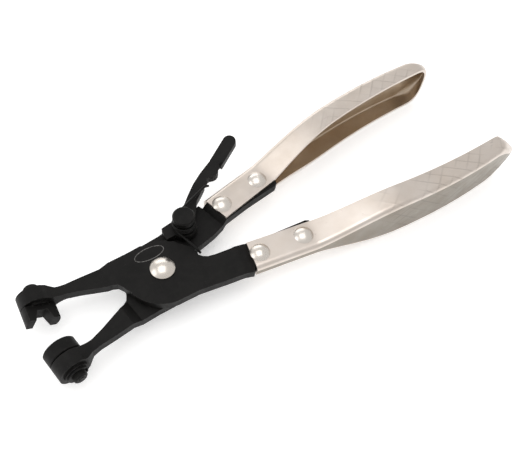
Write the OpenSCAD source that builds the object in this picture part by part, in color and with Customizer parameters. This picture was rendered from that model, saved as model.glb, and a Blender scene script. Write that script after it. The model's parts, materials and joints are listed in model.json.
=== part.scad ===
// Locking pliers for spring-band hose clamps.
// Two flat levers cross at a rivet. Each carries a swivelling jaw tip at one end
// and a folded sheet grip at the other. A spring-loaded pawl works on teeth cut in the front lever.
// Millimetres, +Z up. The origin is the middle of the pivot rivet's flat tail face,
// +X runs towards the grips and the levers meet on the plane z = mid_z.

/* [Levers] */
// thickness of each lever plate
ply = 4; // [3:0.1:5]
// radius of the hub around the pivot
hub_r = 15.7; // [14:0.1:18]
// radius of the circle through the tooth tips
tooth_r = 13.2; // [12:0.1:14]
// depth of a tooth
tooth_depth = 0.6; // [0.3:0.1:0.8]
// angle between two teeth
tooth_pitch = 14.3; // [10:0.1:18]

/* [Jaws] */
// how far the jaw eyes are in front of the pivot
eye_x = 47.1; // [40:0.1:55]
// how far each jaw eye is off the centre line
eye_y = 15.3; // [12:0.1:18]
// radius of a jaw eye
eye_r = 6.5; // [5:0.1:8]
// length of a jaw eye along its own bore
eye_w = 6; // [4:0.1:8]
// how far each jaw leans, so that both line up when the tool is shut
jaw_lean = 6.5; // [0:0.5:10]
// radius of the swivel stem that turns in the eye
stem_r = 3; // [2:0.1:4]
// length of the notched upper tip
upper_tip_l = 6.6; // [5:0.1:8]
// length of the lower drum tip
lower_tip_l = 5.3; // [4:0.1:7]
// turn of the upper tip about its own stem at rest
upper_tip_turn = -28; // [-90:1:90]

/* [Pawl] */
// position of the pawl stud
stud_x = 17.6; // [16:0.1:20]
// position of the pawl stud
stud_y = 12.8; // [11:0.1:15]
// radius of the pawl stud where it is a bearing
stud_r = 3; // [2:0.1:4]
// radius of the spring wire
wire_r = 0.55; // [0.3:0.05:0.8]
// rise of the thumb tab above the pawl's plane
tab_rise = 12; // [0:1:30]

/* [Grips] */
// thickness of the folded sheet
sheet = 1.3; // [1:0.1:2]
// greatest half height of a grip
grip_h = 11.8; // [9:0.1:14]
// length of the tool behind the pivot
tool_x = 176.4; // [150:0.1:200]
// outer radius of the folds
fold_r = 2.2; // [1.6:0.1:3]

/* [Output] */
// sub-part to draw

/* [Hidden] */
$fn = 72;
eps = 0.05;                       // play between pieces that turn against each other
slip = 0.02;                      // play between pieces that are fixed together
far = 400;                        // longer than anything here
washer_t = 1;
tail_t = 1.5;
mid_z = ply + washer_t + tail_t;  // plane where the two levers meet

pin_r = 3.5;                      // pivot rivet's shank
pivot_head_r = 5;
pivot_head_h = 2.6;

rivet_r = 2.25;
rivet_head_r = 4.25;
rivet_head_h = 1.9;
rivet_1 = [37.5, 14.2];
rivet_2 = [57.9, 17.1];

front_bend = 30.5;                // where the front shank starts its step to the middle plane
rear_bend = 33.5;                 // later on the rear shank, which passes under the pawl
bend_to = 35.6;
front_shoulder = 30.9;            // where the back of the grip takes over from the lever's own edge
rear_shoulder = 29.5;
shank_turn = 13;                  // lean of the step
arm_bend_from = 18.4;             // the same step on a jaw arm, clear of the other lever
arm_bend_to = 22.2;
flare_from = 38;                  // where the arm starts to grow into the eye
flare_to = 44.5;

shank_h = ply / 2 + sheet + slip; // half height of a grip where it holds the shank
grip_from = 32.2;                 // where the back of the grip starts
grip_lead = 3;                    // how far its open edge starts ahead of its back
flare_x = 62;                     // where the grip starts to swing outward
widen_x = 60;                     // where it starts to widen
flare_l = 45;                     // length over which it widens
crest_x = 142;                    // where the grip is furthest from the centre line
nose_x = 158;                     // where the grip's rounded end starts
nose_y = 31;                      // the back of the grip at its very end
lip_l = 12;                       // length of the rounded end at its open edge
nose_blunt = 2.5;                 // its outline seen from the back: 2 is an ellipse, more is blunter
back_round = 1.2;                 // how late its back runs out, and how early its open edge does
lip_round = 0.6;

// ---------------------------------------------------------------- levers

function polar(r, a) = [r * cos(a), r * sin(a)];
function mixed(a, b, t) = a + (b - a) * t;

eye = [-eye_x, eye_y];
along_jaw = [cos(jaw_lean), -sin(jaw_lean)];
across_jaw = [-sin(jaw_lean), -cos(jaw_lean)];
// point beside the eye: u along the arm towards the hub, v along the eye's bore towards the other jaw
function by_eye(u, v) = eye + u * along_jaw + v * across_jaw;

// saw teeth: each rises at once and falls slowly with growing angle
teeth = [for (i = [0:3], end = [0, 1])
    polar(tooth_r - tooth_depth * end, 39.6 + i * tooth_pitch + end * (tooth_pitch - 1.5))];
plain_edge = [polar(tooth_r, 34), polar(tooth_r + 0.4, 60), polar(tooth_r + 0.7, 85)];

// Outline of a lever seen from its own face, jaw at the upper left and shank at the lower right.
// The shoulder is where the back of the grip takes over.
module lever_outline(edge, throat, shoulder) {
    polygon(concat(
        [by_eye(-eye_r - 1, eye_w / 2), by_eye(5.5, eye_w / 2), [-36.5, 11], [-31.2, 9.2],
         [-26.1, 7.1], [-22.4, 5.6], [-19.9, 4.4], [-18.1, 2.9], [-17, 1], [-16.3, -1]],
        [for (a = [-171:8.3:-88]) polar(hub_r, a)],
        [[7.3, -16.1], [19.7, -18.5], [shoulder, -20.4], [shoulder + 0.8, -18.3], [61, -23.7], [63.2, -22.5],
         [65.4, -13.4], [65, -11.8], [63.6, -10.9], [48.3, -9.2], [36, -7.2]],
        throat,
        [[15.3, -2.1], polar(15.6, -2), polar(14.9, 5), polar(14.3, 14), polar(tooth_r, 28)],
        edge,
        [polar(tooth_r, 95), [-2.7, 13.7], [-9.2, 13.5], [-18.2, 13.7], [-28.6, 14.6], [-34.9, 15],
         [-38.6, 15.7], by_eye(5.5, -eye_w / 2), by_eye(-eye_r - 1, -eye_w / 2)]));
}

// side view of the arm: the plate steps to the middle plane and then grows into the round eye
module arm_side() {
    centre = -eye * along_jaw;
    rise = sqrt(pow(eye_r, 2) - pow(centre - flare_to, 2)) - ply / 2;
    flare = [for (t = [0:1/6:1]) [mixed(flare_from, flare_to, t), ply / 2 + rise * t * t]];
    polygon(concat(
        [[-far, ply], [arm_bend_from, ply], [arm_bend_to, ply / 2]],
        flare,
        [[centre, 1], [centre, -1]],
        [for (i = [len(flare) - 1:-1:0]) [flare[i].x, -flare[i].y]],
        [[arm_bend_to, -ply / 2], [arm_bend_from, eps / 2], [-far, eps / 2]]));
    translate([centre, 0]) circle(r = eye_r);
}

// side view of the shank, with the same step
module shank_side(bend_from) {
    polygon([[-ply, eps / 2], [bend_from, eps / 2], [bend_to, -ply / 2], [far, -ply / 2],
             [far, ply / 2], [bend_to, ply / 2], [bend_from, ply], [-ply, ply]]);
}

// a side view pulled out across the lever
module across(turn) {
    rotate([0, 0, turn]) rotate([90, 0, 0]) linear_extrude(far, center = true) children();
}

// the lever about the pivot, with its meeting face just off z = 0
module lever(edge, throat, shoulder, bend_from) {
    difference() {
        intersection() {
            linear_extrude(4 * ply, center = true) lever_outline(edge, throat, shoulder);
            union() {
                intersection() {
                    across(180 - jaw_lean) arm_side();
                    translate([-far, -far / 2, -far / 2]) cube([far, far, far]);
                }
                across(-shank_turn) shank_side(bend_from);
            }
        }
        eye_frame() translate([0, 0, -eye_w]) cylinder(h = 2 * eye_w, r = stem_r + eps);
        for (at = [rivet_1, rivet_2])
            translate([at.x, -at.y, -far / 2]) cylinder(h = far, r = rivet_r + slip);
    }
}

// local frame at the eye: +Z along the bore towards the other jaw, +Y up
module eye_frame() {
    translate([eye.x, eye.y, 0]) rotate([0, 0, -jaw_lean]) rotate([90, 0, 0]) children();
}

// the rear half of the tool is the front half turned over about X
module front_side() { translate([0, 0, mid_z]) children(); }
module rear_side() { translate([0, 0, mid_z]) rotate([180, 0, 0]) children(); }

module front_lever() color([0.14, 0.13, 0.14]) front_side()
    difference() {
        lever(teeth, [[33.9, -6.9], [27.7, -6.6], [21.1, -5.6], [18.2, -4.8], [16.5, -3.7]],
              front_shoulder, front_bend);
        translate([0, 0, -far / 2]) cylinder(h = far, r = pin_r + eps);
    }

module rear_lever() color([0.13, 0.13, 0.14]) rear_side()
    difference() {
        lever(plain_edge, [[32.4, -6.2], [27.8, -4.6], [19.3, -2.9], [16.9, -2.6]],
              rear_shoulder, rear_bend);
        translate([0, 0, -far / 2]) cylinder(h = far, r = pin_r + slip);
        translate([stud_x, -stud_y, -far / 2]) cylinder(h = far, r = stud_r + slip);
    }

// ---------------------------------------------------------------- pivot

// low dome of radius r and height h standing on z = 0
module dome(r, h) {
    ball = (r * r + h * h) / (2 * h);
    steps = 12;
    rotate_extrude()
        polygon(concat([[0, 0]], [for (i = [0:steps])
            let (a = asin(r / ball) * (1 - i / steps))
            [ball * sin(a), ball * cos(a) - ball + h]]));
}

module pivot_rivet() color([0.86, 0.84, 0.81]) {
    cylinder(h = mid_z + ply + eps, r = pin_r);
    rotate_extrude() polygon([[0, 0], [4, 0], [4.6, 0.6], [4.6, tail_t], [0, tail_t]]);
    translate([0, 0, mid_z + ply + eps]) {
        cylinder(h = 0.5, r = pivot_head_r);
        translate([0, 0, 0.5]) dome(pivot_head_r, pivot_head_h - 0.5);
    }
}

module pivot_washer() color([0.2, 0.2, 0.21]) translate([0, 0, tail_t])
    difference() {
        cylinder(h = washer_t, r = 6.5);
        translate([0, 0, -1]) cylinder(h = washer_t + 2, r = pin_r + slip);
    }

// ---------------------------------------------------------------- jaw tips

tip_gap = 0.3;                    // play between an eye and the upper tip
neck_gap = 0.6;                   // wider groove behind the lower tip
neck_r = 4.6;
washer_r = 4.9;
clip_t = 0.8;
groove_r = 2.3;
tail_end = -7;                    // end of the stem, on the outer side of the eye
tip_flat = 2.8;                   // half thickness of the upper tip across its flats
notch_depth = 4.1;
notch_floor = 1.95;               // half width of the notch at its floor
notch_mouth = 3.45;
pocket_w = 4.6;
pocket_l = 8;
pocket_depth = 2.4;
washer_h = 0.9;
washer_at = -eye_w / 2 - eps - washer_h;
clip_at = washer_at - slip - clip_t;

// stem from the tip's back, through the eye, to the grooved end outside
module stem(gap) {
    rotate_extrude() polygon([
        [0, eye_w / 2 + gap + 0.5], [neck_r, eye_w / 2 + gap + 0.5], [neck_r, eye_w / 2 + eps],
        [stem_r, eye_w / 2 + eps], [stem_r, clip_at + clip_t], [groove_r, clip_at + clip_t],
        [groove_r, clip_at - slip], [2.7, clip_at - slip], [2.7, tail_end + 0.7],
        [2.1, tail_end + 0.2], [1.2, tail_end + 0.2], [1.2, tail_end], [0, tail_end]]);
}

// tip with two flats and a tapered notch across its end
module upper_tip() color([0.15, 0.14, 0.15]) front_side() eye_frame()
    rotate([0, 0, upper_tip_turn]) {
        stem(tip_gap);
        start = eye_w / 2 + tip_gap;
        end = start + upper_tip_l;
        difference() {
            intersection() {
                translate([0, 0, start]) cylinder(h = upper_tip_l, r = eye_r);
                translate([-eye_r, -tip_flat, start]) cube([2 * eye_r, 2 * tip_flat, upper_tip_l]);
            }
            rotate([90, 0, 0]) linear_extrude(3 * eye_r, center = true)
                polygon([[-notch_floor, end - notch_depth], [notch_floor, end - notch_depth],
                         [notch_mouth, end], [notch_mouth, end + 1],
                         [-notch_mouth, end + 1], [-notch_mouth, end]]);
        }
    }

// plain drum with a shallow blind pocket in its end
module lower_tip() color([0.15, 0.14, 0.15]) rear_side() eye_frame() {
    stem(neck_gap);
    start = eye_w / 2 + neck_gap;
    end = start + lower_tip_l;
    difference() {
        rotate_extrude() polygon([[0, start], [eye_r - 0.3, start], [eye_r, start + 0.3],
                                  [eye_r, end - 0.4], [eye_r - 0.4, end], [0, end]]);
        translate([-pocket_w / 2, -pocket_l / 2, end - pocket_depth])
            cube([pocket_w, pocket_l, 2 * pocket_depth]);
    }
}

module tip_washer() color([0.35, 0.34, 0.34]) eye_frame() translate([0, 0, washer_at])
    difference() {
        cylinder(h = washer_h, r = washer_r);
        translate([0, 0, -1]) cylinder(h = 3, r = stem_r + slip);
    }

// open retaining ring with a finger gap
module tip_clip() color([0.25, 0.24, 0.24]) eye_frame() translate([0, 0, clip_at])
    difference() {
        cylinder(h = clip_t, r = 4.1);
        translate([0, 0, -1]) cylinder(h = 3, r = groove_r + slip);
        translate([0, -1.6, -1]) cube([6, 3.2, 3]);
    }

module upper_tip_washer() front_side() tip_washer();
module lower_tip_washer() rear_side() tip_washer();
module upper_tip_clip() front_side() tip_clip();
module lower_tip_clip() rear_side() tip_clip();

// ---------------------------------------------------------------- pawl

boss_r = 5.5;
tab_root = [48.9, 35.2];
tab_turn = 28;
tab_w = 6;
tab_l = 11.6;
tab_t = ply - 0.6;
coil_z = ply + 0.3;               // underside of the coil, above the plane where the levers meet
coil_r = 4.35;
head_z = 8.8;                     // underside of the stud's head

module ratchet_pawl() color([0.16, 0.15, 0.16]) front_side()
    difference() {
        union() {
            translate([0, 0, eps]) linear_extrude(ply - eps) {
                translate([stud_x, stud_y]) circle(r = boss_r);
                // nose, with its tip just clear of the teeth
                polygon([[17.4, 18.3], [13.9, 17], [9.1, 16.4], [8.5, 14.1], [8.3, 12.1],
                         [8.35, 10.75], [9.6, 10.9], [12.3, 10.8], [15, 12.8]]);
                // arm with a lobe and, next to it, a notch for the spring
                polygon([[14.5, 17.3], [19, 18.9], [22.7, 21.4], [27.3, 25.3], [32.2, 29.1],
                         [38, 32.6], [43.3, 35.2], [47.8, 37.3], [50, 33], [47.6, 32.4],
                         [46.2, 30.4], [45, 29], [43.6, 28.3], [42, 28.3], [40.3, 28.8],
                         [38.7, 28.4], [38, 26.9], [36.9, 27.2], [36.2, 26], [33, 23.6],
                         [29, 20.9], [23, 12.8]]);
            }
            // thumb tab, bent up out of the plane
            translate([tab_root.x, tab_root.y, eps]) rotate([0, -tab_rise, tab_turn])
                linear_extrude(tab_t) {
                    translate([-1.2, -tab_w / 2]) square([tab_l + 1.2, tab_w]);
                    translate([tab_l, 0]) circle(d = tab_w);
                }
        }
        translate([stud_x, stud_y, -1]) cylinder(h = ply + 2, r = stud_r + eps);
    }

module pawl_stud() color([0.17, 0.16, 0.17]) front_side() translate([stud_x, stud_y, 0])
    rotate_extrude() polygon([
        [0, -ply - 0.9], [3.6, -ply - 0.9], [4.1, -ply - 0.4], [4.1, -ply - slip],
        [stud_r, -ply - slip], [stud_r, ply + eps + 0.6], [3.35, ply + eps + 0.6],
        [3.35, head_z], [4.35, head_z], [4.65, head_z + 0.3], [4.65, head_z + 2.2],
        [4.1, head_z + 2.8], [0, head_z + 2.8]]);

module pawl_washer() color([0.3, 0.29, 0.29]) front_side()
    translate([stud_x, stud_y, head_z - 0.45])
    difference() {
        cylinder(h = 0.43, r = 4.3);
        translate([0, 0, -1]) cylinder(h = 3, r = 3.35 + slip);
    }

// ---------------------------------------------------------------- spring

leg_a_end = [35.9, 25.1];         // on the pawl, where it hooks into the notch
leg_b_end = [16.1, -0.6];         // on the front lever, where it hooks over the hub's shoulder

// angle at which a line to the point p leaves the coil; side is 1 or -1
function leaves(p, side) = let (d = p - [stud_x, stud_y])
    atan2(d.y, d.x) + side * acos(coil_r / norm(d));

// ring of wire around the point p, square to the direction d
function wire_ring(p, d, n = 10) =
    let (side = abs(d.z) > 0.8 ? [1, 0, 0] : [0, 0, 1],
         u = cross(d, side) / norm(cross(d, side)),
         v = cross(u, d) / norm(d))
    [for (i = [0:n - 1]) p + wire_r * (cos(360 * i / n) * u + sin(360 * i / n) * v)];

coil_turns = 2;                   // full turns, on top of the part turn between the legs
hook_a = [1.7, 0, -1.4];          // last short bend of each leg, from the leg's end
hook_b = [0.9, -0.5, -2.2];

module torsion_spring() color([0.17, 0.16, 0.17]) front_side() {
    low = coil_z + wire_r;
    high = head_z - 0.5 - wire_r;
    from = leaves(leg_b_end, -1);
    to = leaves(leg_a_end, 1) + 360 * coil_turns;
    steps = 54;
    end_a = [leg_a_end.x, leg_a_end.y, ply + 0.2 + wire_r];
    end_b = [leg_b_end.x, leg_b_end.y, low];
    coil = [for (i = [0:steps]) let (a = mixed(from, to, i / steps))
        [stud_x + coil_r * cos(a), stud_y + coil_r * sin(a), mixed(low, high, i / steps)]];
    path = concat([end_b + hook_b, end_b], coil, [end_a, [end_a.x, end_a.y, ply] + hook_a]);
    last = len(path) - 1;
    loft([for (i = [0:last]) wire_ring(path[i], path[min(last, i + 1)] - path[max(0, i - 1)])]);
}

// ---------------------------------------------------------------- grips

// distance from the centre line to the back of the grip and to its open edge
function back_y(x) = x < flare_x ? 25.6 - 0.18 * (flare_x - x)
                   : 25.6 + 8.9 * sin(90 * (x - flare_x) / (crest_x - flare_x));
function edge_y(x) = x < flare_x + 1 ? 12.6 - 0.183 * (flare_x + 1 - x)
                   : 12.6 + 12.8 * (1 - pow(1 - min(1, (x - flare_x - 1) / 97), 2.2));
function half_h(x) = shank_h
    + (grip_h - shank_h) * pow(sin(90 * max(0, min(1, (x - widen_x) / flare_l))), 1.3);
// how far the open edge runs ahead of the back
function lead(x) = x < flare_x ? grip_lead : grip_lead * (1 - min(1, (x - flare_x) / (flare_l - 1)));

// one cross-section: back point, open-edge point, half height and fold radius
function channel(b, e, h, r) =
    let (d = (e - b) / norm(e - b), n = 4)
    concat([[e.x, e.y, -h]],
           [for (i = [0:n]) let (a = 90 * i / n, p = b + d * r * (1 - sin(a)))
               [p.x, p.y, -h + r * (1 - cos(a))]],
           [for (i = [n:-1:0]) let (a = 90 * i / n, p = b + d * r * (1 - sin(a)))
               [p.x, p.y, h - r * (1 - cos(a))]],
           [[e.x, e.y, h]]);

// a section of the straight part, drawn in by t except at its open edge
function body_section(x, t) =
    let (b = [x, back_y(x)], e = [x + lead(x), edge_y(x + lead(x))], d = (e - b) / norm(e - b))
    channel(b + d * t, e, half_h(x) - t, fold_r - t);

// a section of the rounded end, a from 0 to 90; seen from its back the end is a blunt oval
function nose_section(a, t) =
    let (b = [mixed(nose_x, tool_x - t, pow(sin(a), back_round)),
              mixed(nose_y, back_y(nose_x), cos(a)) - t * cos(a)],
         e = [nose_x + (lip_l - t) * pow(sin(a), lip_round), edge_y(nose_x)],
         h = (grip_h - t) * pow(1 - pow(sin(a), nose_blunt), 1 / nose_blunt))
    channel(b, e, h, min(mixed(fold_r - t, h, pow(sin(a), 2)), 0.9 * h));

function reversed(list) = [for (i = [len(list) - 1:-1:0]) list[i]];
// faces between two rings of point numbers
function skin(p, q) = [for (j = [0:len(p) - 1]) let (k = (j + 1) % len(p))
    each [[p[j], q[k], p[k]], [p[j], q[j], q[k]]]];
// faces along a list of rings
function skins(rings) = [for (i = [1:len(rings) - 1]) each skin(rings[i - 1], rings[i])];

// closed solid through sections with the same number of points
module loft(sections) {
    n = len(sections[0]);
    rings = [for (i = [0:len(sections) - 1]) [for (j = [0:n - 1]) i * n + j]];
    polyhedron([for (s = sections) each s],
               concat(skins(rings), [rings[0], reversed(rings[len(rings) - 1])]));
}

// The grip of the rear lever's side, about the middle plane: a folded channel with a closed round end.
// Each ring of points runs along the outside and then back along the inside.
module grip() {
    stations = [grip_from, widen_x, for (x = [flare_x:5.5:flare_x + flare_l]) x,
                for (x = [114:11:nose_x - 5]) x];
    sections = concat(
        [for (x = stations) concat(body_section(x, 0), reversed(body_section(x, sheet)))],
        [for (a = [0, 15, 30, 43, 56, 67, 77, 87])
            concat(nose_section(a, 0), reversed(nose_section(a, sheet)))]);
    n = len(sections[0]);
    half = n / 2;
    rings = [for (i = [0:len(sections) - 1]) [for (j = [0:n - 1]) i * n + j]];
    last = rings[len(rings) - 1];
    open_end = [for (j = [0:half - 2]) [j, j + 1, n - 2 - j, n - 1 - j]];
    outside_end = [for (j = [half - 1:-1:0]) last[j]];
    inside_end = [for (j = [n - 1:-1:half]) last[j]];
    lip_end = [last[0], last[half - 1], last[half], last[n - 1]];
    difference() {
        polyhedron([for (s = sections) each s],
                   concat(skins(rings), open_end, [outside_end, inside_end, lip_end]));
        for (at = [rivet_1, rivet_2])
            translate([at.x, at.y, -far / 2]) cylinder(h = far, r = rivet_r + slip);
    }
}

module front_grip() color([0.83, 0.79, 0.74]) rear_side() grip();
module rear_grip() color([0.83, 0.79, 0.74]) front_side() grip();

// domed head above, flat upset head below
module grip_rivet(at) color([0.88, 0.86, 0.83]) translate([at.x, at.y, mid_z]) {
    seat = shank_h + slip;
    translate([0, 0, -seat]) cylinder(h = 2 * seat, r = rivet_r);
    translate([0, 0, seat]) dome(rivet_head_r, rivet_head_h);
    translate([0, 0, -seat]) mirror([0, 0, 1])
        rotate_extrude() polygon([[0, 0], [3.9, 0], [3.9, 0.6], [3.3, 1.1], [0, 1.1]]);
}

module front_grip_rivet_1() grip_rivet([rivet_1.x, -rivet_1.y]);
module front_grip_rivet_2() grip_rivet([rivet_2.x, -rivet_2.y]);
module rear_grip_rivet_1() grip_rivet(rivet_1);
module rear_grip_rivet_2() grip_rivet(rivet_2);

front_lever();
rear_lever();
pivot_rivet();
pivot_washer();
upper_tip();
upper_tip_washer();
upper_tip_clip();
lower_tip();
lower_tip_washer();
lower_tip_clip();
ratchet_pawl();
pawl_stud();
pawl_washer();
torsion_spring();
front_grip();
rear_grip();
front_grip_rivet_1();
front_grip_rivet_2();
rear_grip_rivet_1();
rear_grip_rivet_2();
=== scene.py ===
"""Locking pliers for spring-band hose clamps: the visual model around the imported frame.

Units are metres in the row frame. Lengths written as N * MM are millimetres.
"""
import json
import math

import bpy
import bmesh
from mathutils import Matrix, Vector, noise


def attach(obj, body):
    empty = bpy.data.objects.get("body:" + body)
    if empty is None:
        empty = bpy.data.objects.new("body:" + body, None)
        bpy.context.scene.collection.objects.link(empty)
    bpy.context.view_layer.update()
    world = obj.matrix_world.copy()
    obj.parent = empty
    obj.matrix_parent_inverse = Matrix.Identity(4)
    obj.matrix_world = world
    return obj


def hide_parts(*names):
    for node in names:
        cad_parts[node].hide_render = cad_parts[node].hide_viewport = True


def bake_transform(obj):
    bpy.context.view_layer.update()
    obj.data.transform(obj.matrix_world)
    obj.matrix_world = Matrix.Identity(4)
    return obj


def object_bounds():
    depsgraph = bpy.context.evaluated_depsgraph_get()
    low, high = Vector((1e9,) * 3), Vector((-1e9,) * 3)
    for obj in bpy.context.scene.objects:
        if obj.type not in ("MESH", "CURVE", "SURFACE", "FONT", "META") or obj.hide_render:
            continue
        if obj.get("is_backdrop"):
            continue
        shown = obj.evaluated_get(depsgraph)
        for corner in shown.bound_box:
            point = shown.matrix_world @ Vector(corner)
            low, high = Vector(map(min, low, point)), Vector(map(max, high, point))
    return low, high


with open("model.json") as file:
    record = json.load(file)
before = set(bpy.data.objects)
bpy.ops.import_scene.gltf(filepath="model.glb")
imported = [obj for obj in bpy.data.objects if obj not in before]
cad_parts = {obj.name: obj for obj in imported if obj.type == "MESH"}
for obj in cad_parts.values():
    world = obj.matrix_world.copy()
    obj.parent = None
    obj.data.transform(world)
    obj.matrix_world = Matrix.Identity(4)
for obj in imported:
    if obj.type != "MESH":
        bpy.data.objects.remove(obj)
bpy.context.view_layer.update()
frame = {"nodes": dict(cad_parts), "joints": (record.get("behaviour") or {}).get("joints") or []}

MM = 0.001
nodes = frame["nodes"]
joints = {j["name"]: j for j in frame["joints"]}
MID_Z = joints["jaw_pivot"]["pos_m"][2]          # the plane where the two levers meet
STUD = Vector(joints["pawl_pivot"]["pos_m"])
PLY = 4.0                                        # lever thickness, mm

# ------------------------------------------------------------------ materials


class Nodes:
    """A short way to write a material's node tree."""

    def __init__(self, name):
        self.mat = bpy.data.materials.new(name)
        self.mat.use_nodes = True
        self.tree = self.mat.node_tree
        self.bsdf = self.tree.nodes["Principled BSDF"]
        self.position = self.add("ShaderNodeTexCoord").outputs["Object"]

    def add(self, kind, links=None, **values):
        node = self.tree.nodes.new(kind)
        for key, value in values.items():
            setattr(node, key, value)
        for key, value in (links or {}).items():
            if isinstance(value, bpy.types.NodeSocket):
                self.tree.links.new(value, node.inputs[key])
            else:
                node.inputs[key].default_value = value
        return node

    def scaled(self, x, y, z, turn=0.0):
        return self.add("ShaderNodeMapping", {"Vector": self.position, "Scale": (x, y, z),
                                              "Rotation": (0, 0, turn)}).outputs["Vector"]

    def noise(self, per_m, detail=3.0, rough=0.55, vector=None, distortion=0.0):
        return self.add("ShaderNodeTexNoise", {
            "Vector": vector or self.position, "Scale": per_m, "Detail": detail,
            "Roughness": rough, "Distortion": distortion}).outputs["Fac"]

    def math(self, operation, a, b=0.0, clamp=False):
        node = self.add("ShaderNodeMath", {0: a, 1: b}, operation=operation)
        node.use_clamp = clamp
        return node.outputs[0]

    def spread(self, value, low, high, to_low=0.0, to_high=1.0):
        return self.add("ShaderNodeMapRange", {
            "Value": value, "From Min": low, "From Max": high,
            "To Min": to_low, "To Max": to_high}).outputs["Result"]

    def mix(self, factor, a, b):
        node = self.add("ShaderNodeMix", data_type="RGBA")
        for key, value in ((0, factor), (6, a), (7, b)):
            if isinstance(value, bpy.types.NodeSocket):
                self.tree.links.new(value, node.inputs[key])
            else:
                node.inputs[key].default_value = value
        return node.outputs[2]

    def edges(self, radius):
        """1 on sharp outer edges, 0 on flat faces."""
        soft = self.add("ShaderNodeBevel", {"Radius": radius}, samples=6).outputs["Normal"]
        flat = self.add("ShaderNodeNewGeometry").outputs["Normal"]
        dot = self.add("ShaderNodeVectorMath", {0: soft, 1: flat}, operation="DOT_PRODUCT")
        return self.spread(dot.outputs["Value"], 0.995, 0.86)

    def bump(self, height, distance, strength=1.0, under=None):
        links = {"Height": height, "Distance": distance, "Strength": strength}
        if under is not None:
            links["Normal"] = under
        return self.add("ShaderNodeBump", links).outputs["Normal"]

    def shade(self, **sockets):
        for key, value in sockets.items():
            name = key.replace("_", " ")
            if isinstance(value, bpy.types.NodeSocket):
                self.tree.links.new(value, self.bsdf.inputs[name])
            else:
                self.bsdf.inputs[name].default_value = value
        return self.mat


def grey(value, warm=0.0):
    return (value * (1 + warm), value, value * (1 - warm), 1.0)


def black_oxide(name, base, roughness, grain_per_m, grain_depth, wear_and_highlight):
    """Blackened steel: mottled coating, fine blasted grain, and edges lightened: partly rubbed wear, partly
    a painted edge highlight.
    """
    n = Nodes(name)
    cloud = n.spread(n.noise(90, detail=4), 0.3, 0.7)
    stain = n.spread(n.noise(420, detail=5, rough=0.65), 0.45, 0.75)
    colour = n.mix(cloud, grey(base * 0.7, 0.04), grey(base * 1.3, 0.06))
    colour = n.mix(n.math("MULTIPLY", stain, 0.4), colour, grey(base * 2.2, 0.08))
    specks = n.spread(n.noise(2400, detail=2), 0.74, 0.78)
    colour = n.mix(n.math("MULTIPLY", specks, 0.12), colour, grey(0.35, 0.05))
    # painted edge highlight mixed with rubbed wear: sharp edges, broken up by noise, are lightened towards
    # grey 0.12
    rubbed_and_highlit = n.math("MULTIPLY", n.edges(0.3 * MM), n.spread(n.noise(800), 0.42, 0.66), clamp=True)
    colour = n.mix(n.math("MULTIPLY", rubbed_and_highlit, wear_and_highlight), colour, grey(0.12, 0.06))
    rough = n.spread(n.noise(260, detail=4), 0.3, 0.7, roughness - 0.07, roughness + 0.09)
    fine = n.bump(n.noise(grain_per_m, detail=2), grain_depth, 0.8)
    pits = n.bump(n.spread(n.noise(1300, detail=3), 0.28, 0.42), 0.04 * MM, 0.5, under=fine)
    return n.shade(Base_Color=colour, Roughness=rough, Metallic=0.0, Specular_IOR_Level=0.13,
                   Normal=pits)


def nickel(name, base, roughness, brush=None, depth=0.006 * MM, tarnish=0.25, hatch=0.0):
    """Warm nickel plate with cloudy tarnish, dark spots and, along brush, a drawn grain.

    hatch darkens the engraved lines that the mesh keeps in its "groove" attribute.
    """
    n = Nodes(name)
    cloud = n.spread(n.noise(60, detail=5, rough=0.6), 0.3, 0.72)
    dark = tuple(c * (1 - tarnish * k) for c, k in zip(base, (0.7, 0.9, 1.15)))
    colour = n.mix(cloud, (*dark, 1), (*base, 1))
    spots = n.spread(n.noise(900, detail=3), 0.70, 0.78)
    colour = n.mix(n.math("MULTIPLY", spots, 0.35), colour, grey(0.32, 0.1))
    if hatch:
        groove = n.add("ShaderNodeAttribute", attribute_name="groove").outputs["Fac"]
        colour = n.mix(n.math("MULTIPLY", groove, hatch, clamp=True), colour, grey(0.12, 0.12))
    grain = n.noise(1.0, detail=4, vector=n.scaled(*(brush or (2600, 2600, 2600))))
    rough = n.math("ADD", n.spread(n.noise(140, detail=4), 0.3, 0.7, roughness - 0.06, roughness + 0.08),
                   n.spread(grain, 0.3, 0.7, -0.03, 0.05), clamp=True)
    normal = n.bump(grain, depth, 0.6)
    normal = n.bump(n.noise(170, detail=2), 0.16 * MM, 0.35, under=normal)
    return n.shade(Base_Color=colour, Roughness=rough, Metallic=1.0, Normal=normal)


# the last value sets the lighter edges, part rubbed wear and part painted edge highlight
LEVER = black_oxide("lever_black", 0.0055, 0.46, 5200, 0.014 * MM, 0.34)
TIP = black_oxide("tip_black", 0.0045, 0.50, 6500, 0.012 * MM, 0.38)
PAWL = black_oxide("pawl_black", 0.0060, 0.44, 5600, 0.012 * MM, 0.36)
SPRING = black_oxide("spring_black", 0.0055, 0.36, 7000, 0.006 * MM, 0.3)
RIVET = nickel("rivet_nickel", (0.74, 0.70, 0.655), 0.28, depth=0.001 * MM, tarnish=0.12)
GRIP = nickel("grip_nickel", (0.69, 0.63, 0.58), 0.34, brush=(60, 2600, 2600), tarnish=0.14,
              hatch=0.38)
# painted shade: a darker, duller copy of the grip nickel on the web faces, which are the same metal as the
# flanges
GRIP_WEB_SHADE = nickel("grip_web_painted_shade", (0.31, 0.285, 0.25), 0.38, brush=(60, 2600, 2600), tarnish=0.22,
                  hatch=0.5)
# painted shade and painted warm reflection: a darker, browner copy of the grip nickel on the inside faces
# of the channel
GRIP_INSIDE_SHADE = nickel("grip_inside_painted_shade", (0.60, 0.51, 0.41), 0.36, brush=(60, 1800, 1800), tarnish=0.3)


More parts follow.
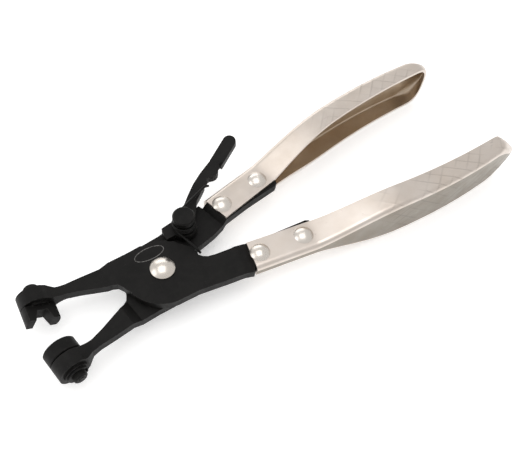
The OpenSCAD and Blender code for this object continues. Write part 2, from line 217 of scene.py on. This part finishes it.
def mesh_object(name, bm):
    """Turns bm into a new object of the scene."""
    mesh = bpy.data.meshes.new(name)
    bm.to_mesh(mesh)
    bm.free()
    obj = bpy.data.objects.new(name, mesh)
    bpy.context.scene.collection.objects.link(obj)
    return obj


# ------------------------------------------------------------------ CAD nodes that stay


def dress(node, material, bevel, segments=3):
    """Gives a CAD node its material, rounded edges and smooth shading."""
    obj = nodes[node]
    obj.data.materials.clear()
    obj.data.materials.append(material)
    for polygon in obj.data.polygons:
        polygon.use_smooth = True
    obj.data.set_sharp_from_angle(angle=math.radians(30))
    flatten = obj.modifiers.new("flatten", "DECIMATE")
    flatten.decimate_type = "DISSOLVE"
    flatten.angle_limit = math.radians(0.4)
    round_off = obj.modifiers.new("round_off", "BEVEL")
    round_off.width = bevel
    round_off.segments = segments
    round_off.limit_method = "ANGLE"
    round_off.angle_limit = math.radians(32)
    round_off.harden_normals = False
    round_off.miter_outer = "MITER_ARC"
    round_off.use_clamp_overlap = True
    tidy = obj.modifiers.new("tidy", "WEIGHTED_NORMAL")
    tidy.keep_sharp = False
    tidy.weight = 60
    return obj


DRESS = {
    "front_lever": (LEVER, 0.35), "rear_lever": (LEVER, 0.35), "pivot_washer": (LEVER, 0.12),
    "upper_tip": (TIP, 0.25), "upper_tip_washer": (TIP, 0.12), "upper_tip_clip": (TIP, 0.12),
    "lower_tip": (TIP, 0.2), "lower_tip_washer": (TIP, 0.12), "lower_tip_clip": (TIP, 0.12),
    "ratchet_pawl": (PAWL, 0.3), "pawl_stud": (PAWL, 0.12), "pawl_washer": (PAWL, 0.06),
    "pivot_rivet": (RIVET, 0.15), "front_grip_rivet_1": (RIVET, 0.12),
    "front_grip_rivet_2": (RIVET, 0.12), "rear_grip_rivet_1": (RIVET, 0.12),
    "rear_grip_rivet_2": (RIVET, 0.12),
}
for node, (material, width) in DRESS.items():
    dress(node, material, width * MM)

# ------------------------------------------------------------------ grips

# lengths in mm, the same as the CAD part's
SHEET = 1.3
SLIP = 0.02                                     # play between the grip and the shank
GRIP_H = 11.8                                   # greatest half height
SHANK_H = PLY / 2 + SHEET + SLIP                # half height where it holds the shank
TOOL_X = 176.4
FOLD_R = 2.2
START_X = 32.2                                  # where the back of the grip starts
FLARE_X, WIDEN_X, FLARE_L = 62, 60, 45          # where it swings outward, where and how far it widens
CREST_X = 142                                   # where it is furthest from the centre line
NOSE_X, NOSE_Y = 158, 31                        # where its closed end starts, and its back at the end
NOSE_BLUNT, BACK_ROUND, LIP_ROUND = 2.5, 1.2, 0.6
BACK_AT_FLARE, BACK_SLOPE, BACK_RISE = 25.6, 0.18, 8.9
EDGE_AT_FLARE, EDGE_SLOPE, EDGE_RISE = 12.6, 0.183, 12.8
EDGE_L, EDGE_CURVE, EDGE_LATE = 97, 2.2, 1
WIDEN_EASE, LEAD = 1.3, 3                       # lead: how far the open edge runs ahead of the back
HATCH_DEPTH = 0.13                              # engraved lines on the grips, mm
LINE_PITCH, LINE_HALF_W = 5.0, 0.36
LINE_ALONG, LINE_AROUND = 0.62, 0.78            # which way a line runs
HATCH_FROM, HATCH_FADE = 88, 12
LIP_L = 12                                      # length of the closed end at its open edge


def back_y(x):
    if x < FLARE_X:
        return BACK_AT_FLARE - BACK_SLOPE * (FLARE_X - x)
    part = (x - FLARE_X) / (CREST_X - FLARE_X)
    return BACK_AT_FLARE + BACK_RISE * math.sin(math.pi / 2 * part)


def edge_y(x):
    start = FLARE_X + EDGE_LATE
    if x < start:
        return EDGE_AT_FLARE - EDGE_SLOPE * (start - x)
    part = min(1, (x - start) / EDGE_L)
    return EDGE_AT_FLARE + EDGE_RISE * (1 - (1 - part) ** EDGE_CURVE)


def half_h(x):
    part = max(0, min(1, (x - WIDEN_X) / FLARE_L))
    return SHANK_H + (GRIP_H - SHANK_H) * math.sin(math.pi / 2 * part) ** WIDEN_EASE


def lead(x):
    return LEAD * (1 - min(1, max(0, x - FLARE_X) / (FLARE_L - 1)))


def blunt(angle):
    """Half height of a ring of the closed end, 1 where the end starts and 0 at its tip."""
    return (1 - math.sin(angle) ** NOSE_BLUNT) ** (1 / NOSE_BLUNT)


def profile(station, inset, flank, web, fold):
    """Points from the lower open edge round the back to the upper one: flank, fold, web, fold, flank."""
    kind, value = station
    fold_r = FOLD_R - inset
    if kind == "body":
        b = Vector((value, back_y(value)))
        e = Vector((value + lead(value), edge_y(value + lead(value))))
        b = b + (e - b).normalized() * inset
        h = half_h(value) - inset
    else:
        s, c = math.sin(value), math.cos(value)
        b = Vector((NOSE_X + (TOOL_X - inset - NOSE_X) * s ** BACK_ROUND,
                    NOSE_Y + (back_y(NOSE_X) - NOSE_Y) * c - inset * c))
        e = Vector((NOSE_X + (LIP_L - inset) * s ** LIP_ROUND, edge_y(NOSE_X)))
        h = (GRIP_H - inset) * blunt(value)
        fold_r += (h - fold_r) * s ** 2
    d = (e - b).normalized()
    r = min(fold_r, 0.9 * h)
    depth = (e - b).length
    side = [(depth + (r - depth) * i / flank, -h) for i in range(flank)]
    turns = [math.pi / 2 * i / fold for i in range(fold)]
    half = side + [(r * (1 - math.sin(a)), -h + r * (1 - math.cos(a))) for a in turns]
    middle = [(0, (h - r) * (2 * i / web - 1)) for i in range(web + 1)]
    path = half + middle + [(u, -z) for u, z in reversed(half)]
    return [Vector((b.x + d.x * u, b.y + d.y * u, z)) for u, z in path]


def crosshatch(x, run):
    """Depth 0..1 of two families of engraved lines on the unrolled skin, x along and run around it."""
    if x < HATCH_FROM:
        return 0.0
    fade = min(1.0, (x - HATCH_FROM) / HATCH_FADE)
    depth = 0.0
    for sign in (1, -1):
        wander = 0.5 * noise.noise(Vector((x * 0.05, run * 0.05, 3.1 * sign)))
        u = (x * LINE_ALONG + sign * run * LINE_AROUND) / LINE_PITCH + 0.22 * wander
        off = abs(u - round(u)) * LINE_PITCH
        worn = 0.5 + 1.3 * noise.noise(Vector((x * 0.09, run * 0.11, 7.7 + sign)))
        depth = max(depth, max(0.0, 1 - off / LINE_HALF_W) * max(0.0, min(1.0, worn)))
    return depth * fade


# the inside and web slots hold darker copies of the grip nickel: painted shade, and inside also a painted
# warm reflection
OUTSIDE, INSIDE, WEB = 0, 1, 2                  # material slots of a grip


def grip(name, side, body):
    """One folded grip; side is 1 for the rear lever's and -1 for the front lever's."""
    step, flank, web, fold = ((0.5, 24, 46, 6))
    count = int((NOSE_X - FLARE_X) / step)
    stations = [("body", START_X + (FLARE_X - START_X) * i / 24) for i in range(24)]
    stations += [("body", FLARE_X + (NOSE_X - FLARE_X) * i / count) for i in range(count)]
    stations += [("nose", math.radians(88 * (1 - (1 - i / 40) ** 1.4))) for i in range(41)]
    bm = bmesh.new()
    groove = bm.verts.layers.float.new("groove")
    outer, inner = [], []
    for station in stations:
        points = profile(station, 0, flank, web, fold)
        run = [0.0]
        for p, q in zip(points, points[1:]):
            run.append(run[-1] + (q - p).length)
        ring = []
        for i, p in enumerate(points):
            before, after = points[max(0, i - 1)], points[min(len(points) - 1, i + 1)]
            inward = (after - before).cross(Vector((1, 0, 0))).normalized()
            depth = crosshatch(p.x, run[i] - run[-1] / 2)
            depth *= min(1.0, min(run[i], run[-1] - run[i]) / 0.8)
            vertex = bm.verts.new(p + inward * HATCH_DEPTH * depth)
            vertex[groove] = depth
            ring.append(vertex)
        outer.append(ring)
        inner.append([bm.verts.new(p) for p in profile(station, SHEET, flank, web, fold)])
    web_from, web_to = flank + fold, flank + fold + web
    for a, b in zip(outer, outer[1:]):
        for i in range(len(a) - 1):
            face = bm.faces.new((a[i], a[i + 1], b[i + 1], b[i]))
            # the web faces take the darker painted-shade nickel
            face.material_index = WEB if web_from <= i < web_to else OUTSIDE
    inside = []
    for a, b in zip(inner, inner[1:]):
        for i in range(len(a) - 1):
            inside.append(bm.faces.new((a[i + 1], a[i], b[i], b[i + 1])))
    for a, b, c, d in zip(outer, outer[1:], inner, inner[1:]):
        bm.faces.new((a[0], b[0], d[0], c[0]))
        bm.faces.new((b[-1], a[-1], c[-1], d[-1]))
    for i in range(len(outer[0]) - 1):
        bm.faces.new((outer[0][i + 1], outer[0][i], inner[0][i], inner[0][i + 1]))
    bm.faces.new(outer[-1])
    inside.append(bm.faces.new(list(reversed(inner[-1]))))
    bm.faces.new((outer[-1][0], outer[-1][-1], inner[-1][-1], inner[-1][0]))
    for face in bm.faces:
        face.smooth = True
    # the inside faces take the painted-shade nickel
    for face in inside:
        face.material_index = INSIDE
    bmesh.ops.recalc_face_normals(bm, faces=bm.faces)
    bmesh.ops.transform(bm, matrix=Matrix.Scale(MM, 4), verts=bm.verts)
    if side < 0:
        bmesh.ops.transform(bm, matrix=Matrix.Rotation(math.pi, 4, "X"), verts=bm.verts)
    bmesh.ops.translate(bm, vec=(0, 0, MID_Z), verts=bm.verts)
    obj = mesh_object(name, bm)
    for material in (GRIP, GRIP_INSIDE_SHADE, GRIP_WEB_SHADE):
        obj.data.materials.append(material)
    obj.data.set_sharp_from_angle(angle=math.radians(35))
    round_off = obj.modifiers.new("round_off", "BEVEL")
    round_off.width = 0.22 * MM
    round_off.segments = 2
    round_off.limit_method = "ANGLE"
    round_off.angle_limit = math.radians(50)
    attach(obj, body)
    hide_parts(name.replace("_skin", ""))
    return obj


grip("rear_grip_skin", 1, "rear")
grip("front_grip_skin", -1, "front")

# ------------------------------------------------------------------ plain oval on the front lever

OVAL_AT, OVAL_RX, OVAL_RY, OVAL_TILT = (-1.1, 8.6), 6.4, 2.8, -3.0    # mm and degrees
OVAL_LINE, OVAL_SINK, OVAL_PROUD = 0.30, 0.05, 0.02


def printed_oval(name, points=96):
    """A thin plain oval line on the front lever's face."""
    n = Nodes("oval_print")
    worn = n.spread(n.noise(2600, detail=3), 0.34, 0.62)
    tone = n.mix(worn, grey(0.045, 0.03), grey(0.19, 0.03))
    material = n.shade(Base_Color=tone, Roughness=0.6, Specular_IOR_Level=0.13,
                       Normal=n.bump(n.noise(5200, detail=2), 0.01 * MM, 0.6))
    turn = math.radians(OVAL_TILT)
    bm = bmesh.new()
    rings = []
    for grow, z in ((0, -OVAL_SINK), (0, OVAL_PROUD), (OVAL_LINE, OVAL_PROUD), (OVAL_LINE, -OVAL_SINK)):
        ring = []
        for i in range(points):
            a = 2 * math.pi * i / points
            x, y = (OVAL_RX - grow) * math.cos(a), (OVAL_RY - grow) * math.sin(a)
            ring.append(bm.verts.new((
                (OVAL_AT[0] + x * math.cos(turn) - y * math.sin(turn)) * MM,
                (OVAL_AT[1] + x * math.sin(turn) + y * math.cos(turn)) * MM,
                MID_Z + (PLY + z) * MM)))
        rings.append(ring)
    for a, b in zip(rings, rings[1:] + rings[:1]):
        for i in range(points):
            k = (i + 1) % points
            bm.faces.new((a[i], a[k], b[k], b[i]))
    bmesh.ops.recalc_face_normals(bm, faces=bm.faces)
    obj = mesh_object(name, bm)
    obj.data.materials.append(material)
    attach(obj, "front")


printed_oval("lever_oval")

# ------------------------------------------------------------------ torsion spring

WIRE_R, COIL_R, COIL_Z, HEAD_Z = 0.55, 4.35, PLY + 0.3, 8.8
LEG_A = Vector((35.9, 25.1))     # on the pawl, at its notch
LEG_B = Vector((16.1, -0.6))     # on the front lever, at the hub's shoulder


def leaves(point, side):
    """Angle at which a straight line to the point leaves the coil."""
    d = point - Vector((STUD.x, STUD.y)) / MM
    return math.atan2(d.y, d.x) + side * math.acos(COIL_R / d.length)


def tube(name, points, body, radius=WIRE_R):
    """Round wire through the points, in mm above the meeting plane, with closed ends."""
    curve = bpy.data.curves.new(name, "CURVE")
    curve.dimensions = "3D"
    curve.bevel_depth = radius * MM
    curve.bevel_resolution = 5
    curve.use_fill_caps = True
    spline = curve.splines.new("POLY")
    spline.points.add(len(points) - 1)
    for target, p in zip(spline.points, points):
        target.co = (p[0] * MM, p[1] * MM, MID_Z + p[2] * MM, 1)
    obj = bpy.data.objects.new(name, curve)
    bpy.context.scene.collection.objects.link(obj)
    mesh = bpy.data.meshes.new_from_object(obj.evaluated_get(bpy.context.evaluated_depsgraph_get()))
    bpy.data.objects.remove(obj)
    wire = bpy.data.objects.new(name, mesh)
    bpy.context.scene.collection.objects.link(wire)
    mesh.materials.clear()
    mesh.materials.append(SPRING)
    for polygon in mesh.polygons:
        polygon.use_smooth = True
    mesh.set_sharp_from_angle(angle=math.radians(50))
    if body:
        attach(wire, body)
    return wire


def eased(points, radius, steps=6):
    """The points with each inner corner turned into a small curve."""
    out = [Vector(points[0])]
    for before, corner, after in zip(points, points[1:], points[2:]):
        before, corner, after = Vector(before), Vector(corner), Vector(after)
        a = corner + (before - corner).normalized() * min(radius, (before - corner).length / 2)
        b = corner + (after - corner).normalized() * min(radius, (after - corner).length / 2)
        for i in range(steps + 1):
            t = i / steps
            out.append(a.lerp(corner, t).lerp(corner.lerp(b, t), t))
    out.append(Vector(points[-1]))
    return out


low, high = COIL_Z + WIRE_R, HEAD_Z - 0.5 - WIRE_R
turn_from, turn_to = leaves(LEG_B, -1), leaves(LEG_A, 1) + 4 * math.pi


def on_coil(angle):
    t = (angle - turn_from) / (turn_to - turn_from)
    return (STUD.x / MM + COIL_R * math.cos(angle), STUD.y / MM + COIL_R * math.sin(angle),
            low + (high - low) * t)


coil = tube("spring_coil", [on_coil(turn_from + (turn_to - turn_from) * i / 160)
                            for i in range(161)], "rear")
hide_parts("torsion_spring")
start_a, start_b = on_coil(turn_to), on_coil(turn_from)
leg_a = tube("spring_leg_pawl", eased([
    start_a, (LEG_A.x, LEG_A.y, PLY + 0.2 + WIRE_R), (LEG_A.x + 1.6, LEG_A.y + 0.1, PLY - 0.6)], 0.9), None)
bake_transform(leg_a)
leg_b = tube("spring_leg_lever", eased([
    start_b, (LEG_B.x, LEG_B.y, low), (LEG_B.x + 0.8, LEG_B.y - 0.5, low - 2.2)], 0.8), None)
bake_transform(leg_b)

# ------------------------------------------------------------------ stage, light and camera


def area_light(name, location, target, size, energy, colour=(1, 1, 1)):
    data = bpy.data.lights.new(name, "AREA")
    data.shape = "RECTANGLE"
    data.size, data.size_y = size
    data.energy = energy
    data.color = colour
    obj = bpy.data.objects.new(name, data)
    obj.location = location
    obj.rotation_mode = "QUATERNION"
    obj.rotation_quaternion = (Vector(target) - Vector(location)).to_track_quat("-Z", "Y")
    bpy.context.scene.collection.objects.link(obj)


def floor():
    lo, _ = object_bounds()
    bm = bmesh.new()
    bmesh.ops.create_grid(bm, x_segments=8, y_segments=8, size=4)
    bmesh.ops.translate(bm, vec=(0.06, 0, lo.z - 0.0002), verts=bm.verts)
    obj = mesh_object("floor", bm)
    n = Nodes("floor_paper")
    tone = n.mix(n.noise(9, detail=2), grey(0.93), grey(0.96))
    obj.data.materials.append(n.shade(Base_Color=tone, Roughness=0.95, Specular_IOR_Level=0.0,
                                      Emission_Color=(1, 1, 1, 1), Emission_Strength=0.32))
    obj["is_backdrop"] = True


floor()
centre = Vector((0.06, 0, MID_Z))
area_light("top_soft", (-0.05, 0.05, 0.90), centre, (0.7, 0.7), 2.4)
area_light("left_soft", (-0.65, 0.25, 0.40), centre, (0.5, 0.4), 0.9)
area_light("back_soft", (0.30, 0.75, 0.35), centre, (0.8, 0.4), 1.2)

world = bpy.data.worlds.new("studio")
world.use_nodes = True
world.node_tree.nodes["Background"].inputs["Color"].default_value = (1.0, 0.99, 0.98, 1)
world.node_tree.nodes["Background"].inputs["Strength"].default_value = 0.78
bpy.context.scene.world = world
bpy.context.scene.view_settings.view_transform = "Standard"

# The viewing angle was fitted to the rivet heads, the jaw eyes and the grips' tips. The camera
# looks past the pivot: it stands aside and above by these lengths, across its own view.
AZIMUTH, ELEVATION, ROLL, DISTANCE = -43.63, 57.22, 9.86, 250 * MM
STAND_ASIDE, STAND_ABOVE = 40.1413 * MM, 15.1333 * MM
SENSOR_MM, LENS_MM = 36, 42.6251


def photo_camera():
    a, e, r = (math.radians(v) for v in (AZIMUTH, ELEVATION, ROLL))
    back = Vector((math.sin(a) * math.cos(e), -math.cos(a) * math.cos(e), math.sin(e)))
    right = Vector((math.cos(a), math.sin(a), 0))
    up = back.cross(right)
    right, up = (right * math.cos(r) + up * math.sin(r), up * math.cos(r) - right * math.sin(r))
    data = bpy.data.cameras.new("camera")
    data.sensor_width = SENSOR_MM
    data.lens = LENS_MM
    data.clip_start, data.clip_end = 0.01, 20
    obj = bpy.data.objects.new("camera", data)
    place = Vector((0, 0, MID_Z)) + back * DISTANCE + right * STAND_ASIDE + up * STAND_ABOVE
    turn = Matrix((right, up, back)).transposed().to_4x4()
    obj.matrix_world = Matrix.Translation(place) @ turn
    bpy.context.scene.collection.objects.link(obj)
    bpy.context.scene.camera = obj


photo_camera()
